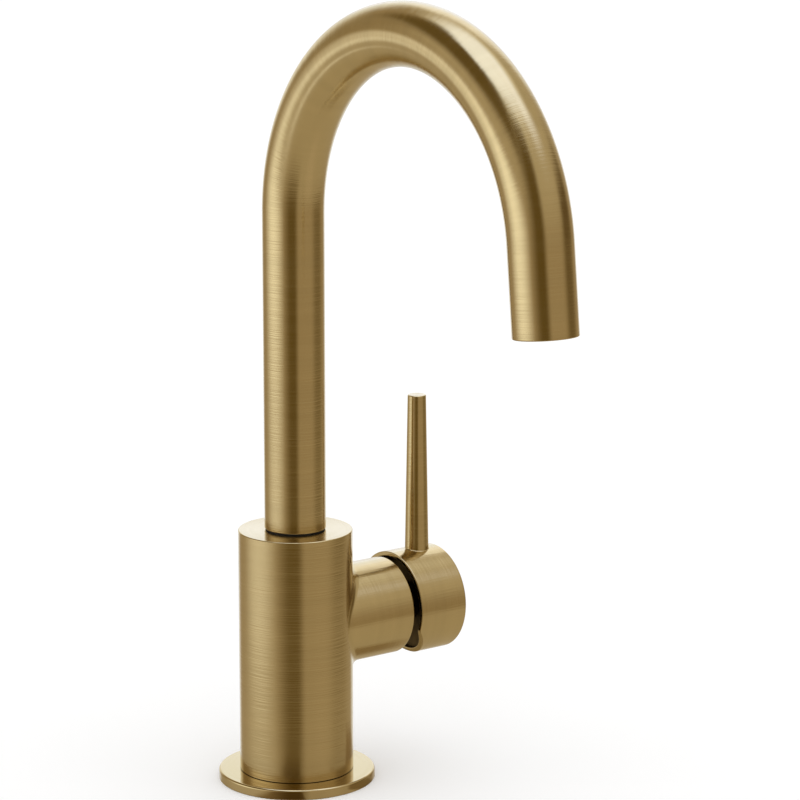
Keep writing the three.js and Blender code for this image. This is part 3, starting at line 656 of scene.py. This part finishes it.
def dressed_hub():
    """A cup on its side, its mouth relieved below. Angle zero points down."""
    piece = Piece("brushed_hub", crossed_gold, inside)
    angles = around(FINE, -math.pi)
    lip = 0.4

    def mouth(radius):
        return HUB_MOUTH + RELIEF_SLOPE * np.maximum(radius * np.cos(angles) - RELIEF_DROP, 0)

    outer, inner = mouth(HUB_RADIUS), mouth(HUB_BORE)
    slope = np.where(HUB_RADIUS * np.cos(angles) > RELIEF_DROP, RELIEF_SLOPE, 0)
    face = np.stack([np.zeros_like(slope), -np.ones_like(slope), -slope], -1)
    face /= np.linalg.norm(face, axis=-1, keepdims=True)
    out = under_axis.out(angles)

    def rows_between(first, last, steps, radius, side):
        share = np.linspace(0, 1, steps + 1)[:, None]
        along = first + share * (last - first)
        reach = np.full_like(along, radius)
        angle = np.repeat(angles[None], steps + 1, 0)
        normals = np.broadcast_to(side, (*along.shape, 3))
        piece.grid(under_axis.place(reach, along, angle), normals, along, angle, reach)

    # outer wall, with the plug's hole in its underside
    by_the_plug = np.linspace(LEVER_AT - 3.7, LEVER_AT + 3.9, 9)
    rows = np.r_[(outer + lip).max() + 0.1, by_the_plug, HUB_END - EDGE]
    rows_between(outer + lip, np.full_like(outer, rows[0]), 6, HUB_RADIUS, out)
    hole = Crossing(under_axis, HUB_RADIUS, LEVER_AT, PLUG_HOLE, 0.3, -1)
    turn = hole.wall_patch(piece, *wall_with_window(piece, under_axis, HUB_RADIUS, rows, angles, 5))
    hole.fillet(piece, turn)
    hole.pipe_wall(piece, turn, HANDLE_HEIGHT - plug_high[2])
    # rounded lip: from the outer wall over the face to the bore
    rows, rays = [], []
    for radius, edge, side, order in ((HUB_RADIUS, outer, out, 1), (HUB_BORE, inner, -out, -1)):
        for quarter in (np.linspace(0, 1, CORNER_POINTS) * math.pi / 2)[::order]:
            ray = math.cos(quarter) * side + math.sin(quarter) * face
            centre = under_axis.place(np.full_like(angles, radius - order * lip), edge + lip, angles)
            rows.append(centre + lip * ray)
            rays.append(ray)
    brushed = np.arange(len(rows))[:, None] * 0.1
    piece.grid(np.array(rows), np.array(rays), brushed, angles[None], HUB_RADIUS)
    end = [(HUB_RADIUS, HUB_END - EDGE), (HUB_RADIUS, HUB_END, EDGE), (0, HUB_END)]
    turned(piece, under_axis, end, angles, closed=False, step=4, across=30)
    # the cup's bore, floor and boss take the painted shade, which shows through the gap at the mouth
    piece.finish = PAINTED_SHADE
    rows_between(inner + lip, np.full_like(inner, CUP_FLOOR), 2, HUB_BORE, -out)
    boss = [(0, BOSS_FACE), (BOSS_RADIUS, BOSS_FACE), (BOSS_RADIUS, CUP_FLOOR)]
    turned(piece, under_axis, [*boss, (HUB_BORE, CUP_FLOOR)], angles, closed=False)
    piece.build("handle", "champagne_gold", "handle_hub")


def dressed_lever():
    """A tapered rod with a fine hollow fillet where it meets the hub."""
    piece = Piece("brushed_lever", gold)
    top = lever_high[2]
    hub_top = HANDLE_HEIGHT + HUB_RADIUS
    fillet, bevel, tip_edge, rows = 0.35, 0.55, 0.44, 25
    cone = (LEVER_TIP - LEVER_FOOT) / (top - hub_top)
    foot = Crossing(stub_axis, HUB_RADIUS, LEVER_AT, LEVER_FOOT, fillet, 1)
    turn = around(COARSE)
    angles = math.pi / 2 - turn  # the same columns, counted round the lever's own axis
    foot.fillet(piece, turn)
    low = HANDLE_HEIGHT + foot.ball(turn)[0]
    share = np.linspace(0, 1, rows)[:, None]
    along = low + share * (top - bevel - low)
    radius = LEVER_FOOT + np.maximum(along - hub_top, 0) * cone
    radius[0] = LEVER_FOOT
    angle = np.repeat(angles[None], rows, 0)
    facing = lever_axis.normal(np.ones_like(angle), np.full_like(angle, -cone), angle, along)
    piece.grid(lever_axis.place(radius, along, angle), facing, along, angle, radius)
    end = radius[-1, 0]
    tip = [(end, top - bevel), (end - 0.05, top, tip_edge), (0, top)]
    turned(piece, lever_axis, tip, angles, closed=False)
    piece.build("handle", "champagne_gold", "handle_lever")


def dressed_plug():
    """A smooth cap with a rounded rim, flush in the hub's underside."""
    piece = Piece("polished_plug", gold)
    down = Axis((0, LEVER_AT, HANDLE_HEIGHT), -Z, X)
    top, end = HANDLE_HEIGHT - plug_high[2], HANDLE_HEIGHT - plug_low[2]
    radius = plug_high[0]
    turned(piece, down, [(0, top), (radius, top), (radius, end, 0.4), (0, end)], around(48), closed=False)
    piece.build("handle", "champagne_gold", "set_screw_plug")


# ---- Small pieces: the outlet's inside, and the hardware under the deck


def lathe(name, body, slot, axis, corners, node):
    piece = Piece(name, finishes[slot])
    turned(piece, axis, corners, around(MIDDLING))
    piece.build(body, slot, node)


def ring(inner, outer, low, high, edge=0.2):
    return [(inner, low, edge), (outer, low, edge), (outer, high, edge), (inner, high, edge)]


def dressed_outlet():
    """The bush, the aerator's housing, and its screen of woven wire in a rim."""
    end = spout_axis.length
    bush_wall, bush_length, shell_wall, recess, depth = 1.4, 11.7, 1.3, 0.8, 9.4
    bush = TUBE_RADIUS - TUBE_WALL - GAP
    shell = bush - bush_wall - GAP
    bore = shell - shell_wall
    mouth, top = end - recess, end - depth
    tube = ring(shell + GAP, bush, mouth - bush_length, mouth + GAP)
    lathe("outlet_bush_ring", "spout", "raw_brass", spout_axis, tube, "outlet_bush")
    cup = [(bore, mouth - 0.6), (shell - 0.7, mouth, 0.2), (shell, mouth, 0.4), (shell, top), (bore, top)]
    lathe("aerator_shell", "spout", "engineering_polymer", spout_axis, cup, "aerator_housing")
    piece = Piece("woven_screen", finishes["steel_hardware"])
    reach, level, rim_width, rim_half = bore - GAP, mouth - 1.2, 0.5, 0.4
    turned(piece, spout_axis, ring(reach - rim_width, reach, level - rim_half, level + rim_half), around(64))
    centre = spout_axis.centre(np.array(level))
    ahead, inner = spout_axis.directions(np.array(level))
    pitch, wire, overlap, steps_to_pitch = 0.8, 0.11, 0.4, 4
    woven = reach - overlap
    count = int(woven / pitch)
    turn = around(6)
    for first, second, phase in ((inner, Y, 0), (Y, inner, math.pi)):
        for k in range(-count, count + 1):
            half = math.sqrt(woven**2 - (k * pitch) ** 2)
            number = math.floor(half / pitch * steps_to_pitch)
            steps = np.arange(-number, number + 1) * pitch / steps_to_pitch
            wave = wire * np.cos(math.pi * (steps / pitch + k) + phase)
            middle = centre + k * pitch * first + steps[:, None] * second + wave[:, None] * ahead
            rays = np.cos(turn)[:, None] * first + np.sin(turn)[:, None] * ahead
            points = middle[:, None] + wire * rays[None]
            piece.grid(points, np.broadcast_to(rays, points.shape), steps[:, None], turn[None], wire)
    piece.build("spout", "steel_hardware", "aerator_screen")


def dressed_shank():
    """The hollow shank, its thread running out at both ends."""
    piece = Piece("threaded_shank", finishes["raw_brass"])
    low, top, radius = shank_low[2], shank_high[2], shank_high[0]
    wall, pitch, depth, bevel, rows_to_pitch = 3, 1.75, 0.8, 1, 8
    bore = radius - wall
    angle, along = np.meshgrid(around(COARSE), np.arange(low + bevel, -0.5, pitch / rows_to_pitch))
    phase = TURN * along / pitch - angle
    share = np.clip(np.minimum(along - along[0], along[-1] - along) / pitch, 0, 1)
    reach = radius - depth * share * (0.5 - 0.5 * np.cos(phase))
    lean = -depth * share * 0.5 * np.sin(phase)
    sideways = np.cos(angle)[..., None] * Y - np.sin(angle)[..., None] * X
    facing = body_axis.out(angle) - (lean * TURN / pitch)[..., None] * Z
    facing += (lean / reach)[..., None] * sideways
    piece.grid(body_axis.place(reach, along, angle), facing, along, angle, reach)
    foot = [(bore, top), (bore, low), (radius - 0.9, low), (radius, low + bevel)]
    turned(piece, body_axis, foot, around(COARSE), closed=False)
    neck = [(radius, along[-1, 0]), (radius, top), (bore, top)]
    turned(piece, body_axis, neck, around(COARSE), closed=False)
    piece.build("faucet_body", "raw_brass", "mounting_shank")


def dressed_screw(node):
    """A clamp screw with a hexagon head, chamfered below."""
    piece = Piece("hexagon_" + node, finishes["steel_hardware"])
    low, high = box(node)
    axis = Axis(((low[0] + high[0]) / 2, 0, 0), Z, X)
    shaft, head_height, pitch, depth, bevel = 2, 3, 0.8, 0.3, 0.4
    corner, head = (high[0] - low[0]) / 2, low[2] + head_height
    sixth = math.pi / 3
    flat = corner * math.cos(sixth / 2)
    outline = [(shaft, head)]
    for step in np.arange(head + pitch, high[2] - pitch, pitch):
        outline += [(shaft, step), (shaft - depth, step + 0.25), (shaft, step + 0.5)]
    outline += [(shaft, high[2] - bevel), (shaft - bevel, high[2]), (0, high[2])]
    turned(piece, axis, outline, around(32), closed=False)
    aside = np.linspace(-sixth / 2, sixth / 2, 9)
    reach = flat / np.cos(aside)
    chamfered = flat * 0.97
    chamfer = low[2] + (reach - chamfered) * math.tan(sixth / 2)
    rim, edge = np.full_like(reach, chamfered), np.full_like(reach, low[2])
    level, shoulder = np.full_like(reach, head), np.full_like(reach, shaft)
    middle = np.zeros_like(reach)
    for k in range(6):
        angles = k * sixth + aside + sixth / 2
        across = np.broadcast_to(axis.out(np.array(k * sixth + sixth / 2)), (9, 3))
        cone = axis.out(angles) * 0.5 - Z * 0.87
        for (inner, lower), (outer, upper), normal in (
            ((reach, chamfer), (reach, level), across),
            ((rim, edge), (reach, chamfer), cone),
            ((middle, edge), (rim, edge), np.broadcast_to(-Z, (9, 3))),
            ((shoulder, level), (reach, level), np.broadcast_to(Z, (9, 3))),
        ):
            points = np.stack([axis.place(inner, lower, angles), axis.place(outer, upper, angles)])
            piece.grid(points, np.stack([normal, normal]), np.stack([lower, upper]), angles, reach)
    piece.build("faucet_body", "steel_hardware", node)


def dressed_washers():
    shank_bore, spigot_bore = shank_high[0] + GAP, box("spout_spigot")[1][0] + GAP
    for node, name, slot, bore, edge in (
        ("friction_washer", "round_friction_washer", "seal_rubber", shank_bore, 0.5),
        ("clamp_washer", "round_clamp_washer", "steel_hardware", shank_bore, 0.25),
        ("spout_glide_washer", "round_glide_washer", "black_polymer", spigot_bore, 0.05),
    ):
        low, high = box(node)
        lathe(name, "faucet_body", slot, body_axis, ring(bore, high[0], low[2], high[2], edge), node)


dressed_outlet()
dressed_shank()
dressed_screw("clamp_screw_1")
dressed_screw("clamp_screw_2")
dressed_washers()
dressed_flange()
dressed_body()
dressed_spout()
dressed_cover()
dressed_hub()
dressed_lever()
dressed_plug()

# ---- Camera, fitted to the object's outline in the photo, in metres and millimetres of sensor

AZIMUTH = math.radians(54.612)
PITCH = math.radians(12.213)
YAW = math.radians(1.807)
DISTANCE, HEIGHT = 1.198176, 0.400038
SENSOR, FOCAL_LENGTH = 36, 154.01
back = math.sin(AZIMUTH) * X - math.cos(AZIMUTH) * Y
right = math.cos(AZIMUTH) * X + math.sin(AZIMUTH) * Y
ahead = -back * math.cos(YAW) + right * math.sin(YAW)
across = right * math.cos(YAW) + back * math.sin(YAW)
view_up = Z * math.cos(PITCH) + ahead * math.sin(PITCH)
view_forward = ahead * math.cos(PITCH) - Z * math.sin(PITCH)
lens = bpy.data.cameras.new("photo_camera")
lens.sensor_width = SENSOR
lens.lens = FOCAL_LENGTH
camera = bpy.data.objects.new("photo_camera", lens)
turning = Matrix(np.stack([across, view_up, -view_forward], -1).tolist()).to_4x4()
camera.matrix_world = Matrix.Translation(Vector(back * DISTANCE + Z * HEIGHT)) @ turning
bpy.context.scene.collection.objects.link(camera)
bpy.context.scene.camera = camera

# ---- Light: a studio seen in the gloss, white all round for everything else

world = bpy.data.worlds.new("studio")
world.use_nodes = True
bpy.context.scene.world = world
sky = Nodes(world.node_tree)
direction = sky.add("TexCoord").outputs["Generated"]
azimuth = sky.math("ARCTAN2", sky.along(direction, right), sky.along(direction, back))
azimuth = sky.math("MULTIPLY", azimuth, 180 / math.pi)
elevation = sky.math("MULTIPLY", sky.math("ARCSINE", sky.along(direction, Z)), 180 / math.pi)

# the studio's colour by degrees above the level
LEVELS = [
    (-40, (0.51, 0.43, 0.29)),
    (-19, (0.48, 0.40, 0.27)),
    (-13, (0.41, 0.32, 0.195)),
    (-7, (0.41, 0.32, 0.195)),
    (3, (0.45, 0.36, 0.235)),
    (12, (0.50, 0.42, 0.29)),
    (24, (0.57, 0.49, 0.35)),
    (50, (0.57, 0.50, 0.37)),
    (58, (0.88, 0.85, 0.76)),
    (68, (1.40, 1.55, 2.0)),
]
ramp = sky.add("ValToRGB", {"Fac": sky.spread(elevation, -90, 90)})
while len(ramp.color_ramp.elements) < len(LEVELS):
    ramp.color_ramp.elements.new(0.5)
for element, (degrees, colour) in zip(ramp.color_ramp.elements, LEVELS):
    element.position = (degrees + 90) / 180
    element.color = (*colour, 1)
glow = ramp.outputs["Color"]

# Areas over it, later ones in front: colour, degrees to the right of the camera's side from and to, degrees
# above the level from and to, and how soft the edges are at these four.
DARK = (0.145, 0.095, 0.022)
WHITE = (1.28, 1.29, 1.32)
AREAS = [
    ((0.57, 0.50, 0.38), (-118, -46), (-38, 8), (20, 24), (14, 10)),
    ((0.38, 0.29, 0.16), (-160, -120), (22, 50), (6, 8), (8, 8)),
    ((0.30, 0.22, 0.10), (-160, -134), (-50, -28), (6, 8), (8, 8)),
    (DARK, (-131, -27), (31, 66), (8, 6), (10, 4)),
    ((0.36, 0.28, 0.16), (-140, -104), (4, 30), (6, 6), (3, 6)),
    ((0.40, 0.31, 0.17), (-116, -97), (-8, 9), (4, 5), (3, 1.5)),
    ((1.38, 1.5, 1.9), (52, 90), (49, 110), (16, 12), (17, 1)),
    (DARK, (-29, 12), (-28, 52), (20, 10), (16, 12)),
    ((1.0, 1.02, 1.05), (150, 205), (-24, 33), (10, 10), (12, 4)),
    ((1.0, 0.98, 0.88), (190, 214), (-4, 14), (8, 12), (6, 8)),
    (WHITE, (152, 188), (16, 46), (8, 8), (6, 5)),
    ((1.31, 1.42, 1.66), (166, 190), (8, 28), (6, 6), (4, 6)),
    ((1.07, 1.11, 1.06), (145, 210), (18, 21.5), (8, 8), (1.5, 3)),
    ((0.23, 0.17, 0.08), (78, 118), (-15.5, 10), (14, 14), (3, 12)),
    ((0.15, 0.10, 0.04), (86, 124), (-3, 20), (10, 12), (8, 12)),
    ((0.55, 0.46, 0.32), (40, 70), (-60, -19), (12, 12), (10, 4)),
]
for colour, (left_end, right_end), (low, high), (left_soft, right_soft), (low_soft, high_soft) in AREAS:
    half = (right_end - left_end) / 2
    aside = sky.math("SUBTRACT", azimuth, (left_end + right_end) / 2)
    aside = sky.add("Math", {0: aside, 1: 180.0, 2: -180.0}, operation="WRAP").outputs[0]
    mask = sky.edge(aside, -half, left_soft, 1)
    mask = sky.math("MULTIPLY", mask, sky.edge(aside, half, right_soft, 0))
    mask = sky.math("MULTIPLY", mask, sky.edge(elevation, high, high_soft, 0))
    mask = sky.math("MULTIPLY", mask, sky.edge(elevation, low, low_soft, 1))
    glow = sky.blend(mask, glow, colour)
path = sky.add("LightPath")
surroundings = sky.blend(path.outputs["Is Glossy Ray"], (1, 1, 1), glow)
lit = sky.add("Background", {"Color": surroundings, "Strength": 1.0})
world_out = sky.add("OutputWorld")
world.node_tree.links.new(lit.outputs[0], world_out.inputs["Surface"])


COOL = (0.91, 1, 1.08)


def softbox(name, degrees, distance, centre, width, height, radiance, soften):
    """A lamp with soft edges that only the gloss sees. soften is the share that fades, across and up."""
    lamp = bpy.data.lights.new(name, "AREA")
    lamp.shape = "RECTANGLE"
    lamp.size, lamp.size_y = width, height
    lamp.energy = math.pi * width * height
    lamp.use_nodes = True
    nodes = Nodes(lamp.node_tree)
    spot = nodes.add("SeparateXYZ", {0: nodes.add("NewGeometry").outputs["Parametric"]}).outputs
    strength = radiance
    for place, fade in zip(spot, soften):
        for low, high in ((0, fade), (1, 1 - fade)):
            strength = nodes.math("MULTIPLY", strength, nodes.spread(place, low, high, 0, 1, smooth=True))
    shine = nodes.add("Emission", {"Color": (*COOL, 1), "Strength": strength})
    lamp.node_tree.links.new(shine.outputs[0], nodes.add("OutputLight").inputs["Surface"])
    made = bpy.data.objects.new(name, lamp)
    turn = math.radians(degrees)
    away = Vector(math.cos(turn) * back + math.sin(turn) * right)
    facing = away.to_track_quat("Z", "Y").to_matrix().to_4x4()
    made.matrix_world = Matrix.Translation(away * distance + Vector((0, 0, centre))) @ facing
    made.visible_diffuse = made.visible_transmission = made.visible_volume_scatter = False
    bpy.context.scene.collection.objects.link(made)


softbox("left_softbox", -79, 1.2, 0.145, 2.6, 0.75, 0.84, (0.5, 0.31))
softbox("low_softbox", -79, 0.5, -0.065, 0.9, 0.12, 0.5, (0.5, 0.5))

# ---- Floor

FLOOR_REACH = 6.0
PALE = (0.9, 0.9, 0.9)
CAMERA_LIFT = 0.14  # what the camera sees on top of the floor's lit colour, to bring it to white
SHADOW_REACH = 0.12  # metres
SHADOW_TINT = 0.72  # of the gloss in the shadow's middle
floor_mesh = bpy.data.meshes.new("floor")
corners = [(x * FLOOR_REACH, y * FLOOR_REACH, 0) for x, y in ((-1, -1), (1, -1), (1, 1), (-1, 1))]
floor_mesh.from_pydata(corners, [], [(0, 1, 2, 3)])
floor = bpy.data.objects.new("floor", floor_mesh)
bpy.context.scene.collection.objects.link(floor)
floor_paint, floor_nodes, floor_shader = material("pale_floor", PALE)
floor_shader.inputs["Base Color"].default_value = (*PALE, 1)
floor_shader.inputs["Roughness"].default_value = 1
floor_shader.inputs["Specular IOR Level"].default_value = 0
floor_shader.inputs["Emission Color"].default_value = (1, 1, 1, 1)
floor_path = floor_nodes.add("LightPath").outputs
lift = floor_nodes.math("MULTIPLY", floor_path["Is Camera Ray"], CAMERA_LIFT)
floor_paint.node_tree.links.new(lift, floor_shader.inputs["Emission Strength"])

# In the gloss only the faucet's shadow on the floor shows, over the studio behind it: a soft one all round,
# from ambient occlusion, and painted shadows: that of the stub and hub under them, and dark patches close
# to the flange's rim. Each painted shadow has a colour and, along each of two axes, the distances where it
# starts, is full, begins to fade and stops.
PAINTED_SHADOWS = [
    ((0.64, 0.55, 0.42), (X, -0.014, 0.002, 0.020, 0.025), (Y, 0, 0.01, 0.062, 0.080)),
    ((0.5, 0.42, 0.3), (right, -0.020, -0.012, 0.0025, 0.004), (back, 0.024, 0.026, 0.042, 0.060)),
    ((0.55, 0.47, 0.34), (right, 0.022, 0.025, 0.031, 0.034), (back, 0.004, 0.008, 0.021, 0.024)),
]
shadow = floor_nodes.add("AmbientOcclusion", {"Distance": SHADOW_REACH}, samples=8).outputs["AO"]
place = floor_nodes.add("TexCoord").outputs["Object"]
painted_shadow_colour = (1, 1, 1)
# each patch is a painted shadow, darkening the floor's gloss over a fixed area
for colour, *bounds in PAINTED_SHADOWS:
    share = 1.0
    for axis, start, full, fading, stop in bounds:
        at = floor_nodes.along(place, axis)
        share = floor_nodes.math("MULTIPLY", share, floor_nodes.spread(at, start, full, 0, 1, smooth=True))
        share = floor_nodes.math("MULTIPLY", share, floor_nodes.spread(at, fading, stop, 1, 0, smooth=True))
    painted_shadow_colour = floor_nodes.blend(share, painted_shadow_colour, colour)
soft = floor_nodes.spread(shadow, 0.3, 0.9, SHADOW_TINT, 1)
tint = floor_nodes.add("VectorMath", {0: painted_shadow_colour, "Scale": soft}, operation="SCALE").outputs["Vector"]
see_through = floor_nodes.add("BsdfTransparent", {"Color": tint}).outputs[0]
shaders = {0: floor_path["Is Glossy Ray"], 1: floor_shader.outputs[0], 2: see_through}
either = floor_nodes.add("MixShader", shaders).outputs[0]
floor_paint.node_tree.links.new(either, floor_nodes.tree.nodes["Material Output"].inputs["Surface"])
floor_mesh.materials.append(floor_paint)

bpy.context.scene.view_settings.view_transform = "Standard"
